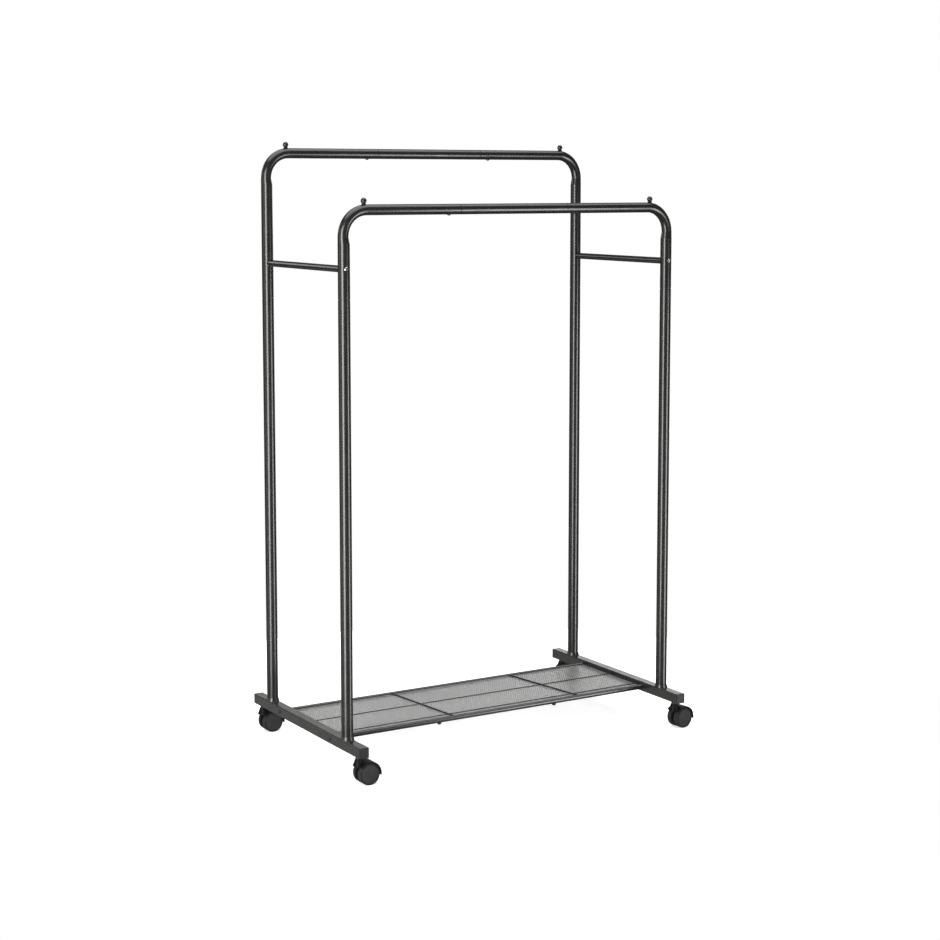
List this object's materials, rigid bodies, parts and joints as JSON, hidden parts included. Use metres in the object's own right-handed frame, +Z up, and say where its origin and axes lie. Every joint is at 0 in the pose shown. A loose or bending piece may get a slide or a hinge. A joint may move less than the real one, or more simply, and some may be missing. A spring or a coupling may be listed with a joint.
{
  "type": "rolling clothes rack",
  "caption": "Double-rail rolling clothes rack in black steel tube, with a low front rail, a tall rear rail, a mesh base shelf and twin-wheel casters.",
  "frame": {"origin": "middle of the whole object's footprint, on the floor", "axes": "+X along the rails to the right, +Y from the low front rail to the tall rear rail, +Z up"},
  "size_m": [0.98, 0.57, 1.4852],
  "materials": {
    "frame_steel": "semi-gloss gunmetal powder coat",
    "stop_steel": "glossy black enamel",
    "mesh_steel": "satin grey coated expanded mesh",
    "wire_steel": "satin black coated wire",
    "bright_bolt": "zinc plated",
    "black_bolt": "black oxide",
    "stem_steel": "black zinc plated",
    "cap_plastic": "fine-grained black plastic",
    "caster_hood": "satin black plastic",
    "caster_wheel": "matte black nylon"
  },
  "bodies": {
    "frame": {"left_base_bar": "frame_steel", "right_base_bar": "frame_steel", "base_end_caps": "cap_plastic", "caster_sockets": "stem_steel", "front_middle_rail": "frame_steel", "rear_middle_rail": "frame_steel", "rail_screws": "black_bolt", "hanger_stops": "stop_steel", "left_side_brace": "frame_steel", "right_side_brace": "frame_steel", "brace_inserts": "black_bolt", "front_brace_bolts": "bright_bolt", "rear_brace_bolts": "black_bolt", "front_shelf_tube": "frame_steel", "rear_shelf_tube": "frame_steel", "shelf_inserts": "black_bolt", "shelf_bolts": "black_bolt", "shelf_screws": "black_bolt", "shelf_mesh": "mesh_steel", "shelf_wires": "wire_steel", "left_front_foot": "frame_steel", "left_front_lower_tube": "frame_steel", "left_front_middle_tube": "frame_steel", "left_front_upper_tube": "frame_steel", "left_front_corner_tube": "frame_steel", "left_front_caster_stem": "stem_steel", "left_rear_foot": "frame_steel", "left_rear_lower_tube": "frame_steel", "left_rear_middle_tube": "frame_steel", "left_rear_upper_tube": "frame_steel", "left_rear_corner_tube": "frame_steel", "left_rear_caster_stem": "stem_steel", "right_rear_foot": "frame_steel", "right_rear_lower_tube": "frame_steel", "right_rear_middle_tube": "frame_steel", "right_rear_upper_tube": "frame_steel", "right_rear_corner_tube": "frame_steel", "right_rear_caster_stem": "stem_steel", "right_front_foot": "frame_steel", "right_front_lower_tube": "frame_steel", "right_front_middle_tube": "frame_steel", "right_front_upper_tube": "frame_steel", "right_front_corner_tube": "frame_steel", "right_front_caster_stem": "stem_steel"},
    "left_front_caster": {"left_front_caster_hood": "caster_hood", "left_front_caster_axle": "stem_steel"},
    "left_front_front_wheel": {"left_front_caster_front_wheel": "caster_wheel"},
    "left_front_rear_wheel": {"left_front_caster_rear_wheel": "caster_wheel"},
    "left_rear_caster": {"left_rear_caster_hood": "caster_hood", "left_rear_caster_axle": "stem_steel"},
    "left_rear_front_wheel": {"left_rear_caster_front_wheel": "caster_wheel"},
    "left_rear_rear_wheel": {"left_rear_caster_rear_wheel": "caster_wheel"},
    "right_rear_caster": {"right_rear_caster_hood": "caster_hood", "right_rear_caster_axle": "stem_steel"},
    "right_rear_front_wheel": {"right_rear_caster_front_wheel": "caster_wheel"},
    "right_rear_rear_wheel": {"right_rear_caster_rear_wheel": "caster_wheel"},
    "right_front_caster": {"right_front_caster_hood": "caster_hood", "right_front_caster_axle": "stem_steel"},
    "right_front_front_wheel": {"right_front_caster_front_wheel": "caster_wheel"},
    "right_front_rear_wheel": {"right_front_caster_rear_wheel": "caster_wheel"}
  },
  "joints": [
    {"name": "left_front_swivel", "type": "hinge", "parent": "frame", "child": "left_front_caster", "pos_m": [-0.47461, -0.257, 0.0627], "axis": [0, 0, 1], "continuous": true},
    {"name": "left_front_front_wheel_spin", "type": "hinge", "parent": "left_front_caster", "child": "left_front_front_wheel", "pos_m": [-0.45461, -0.257, 0.026], "axis": [0, 1, 0], "continuous": true},
    {"name": "left_front_rear_wheel_spin", "type": "hinge", "parent": "left_front_caster", "child": "left_front_rear_wheel", "pos_m": [-0.45461, -0.257, 0.026], "axis": [0, 1, 0], "continuous": true},
    {"name": "left_rear_swivel", "type": "hinge", "parent": "frame", "child": "left_rear_caster", "pos_m": [-0.47461, 0.257, 0.0627], "axis": [0, 0, 1], "continuous": true},
    {"name": "left_rear_front_wheel_spin", "type": "hinge", "parent": "left_rear_caster", "child": "left_rear_front_wheel", "pos_m": [-0.45461, 0.257, 0.026], "axis": [0, 1, 0], "continuous": true},
    {"name": "left_rear_rear_wheel_spin", "type": "hinge", "parent": "left_rear_caster", "child": "left_rear_rear_wheel", "pos_m": [-0.45461, 0.257, 0.026], "axis": [0, 1, 0], "continuous": true},
    {"name": "right_rear_swivel", "type": "hinge", "parent": "frame", "child": "right_rear_caster", "pos_m": [0.43739, 0.257, 0.0627], "axis": [0, 0, 1], "continuous": true},
    {"name": "right_rear_front_wheel_spin", "type": "hinge", "parent": "right_rear_caster", "child": "right_rear_front_wheel", "pos_m": [0.45728, 0.25909, 0.026], "axis": [-0.1045, 0.9945, 0], "continuous": true},
    {"name": "right_rear_rear_wheel_spin", "type": "hinge", "parent": "right_rear_caster", "child": "right_rear_rear_wheel", "pos_m": [0.45728, 0.25909, 0.026], "axis": [-0.1045, 0.9945, 0], "continuous": true},
    {"name": "right_front_swivel", "type": "hinge", "parent": "frame", "child": "right_front_caster", "pos_m": [0.43739, -0.257, 0.0627], "axis": [0, 0, 1], "continuous": true},
    {"name": "right_front_front_wheel_spin", "type": "hinge", "parent": "right_front_caster", "child": "right_front_front_wheel", "pos_m": [0.45728, -0.25491, 0.026], "axis": [-0.1045, 0.9945, 0], "continuous": true},
    {"name": "right_front_rear_wheel_spin", "type": "hinge", "parent": "right_front_caster", "child": "right_front_rear_wheel", "pos_m": [0.45728, -0.25491, 0.026], "axis": [-0.1045, 0.9945, 0], "continuous": true}
  ]
}
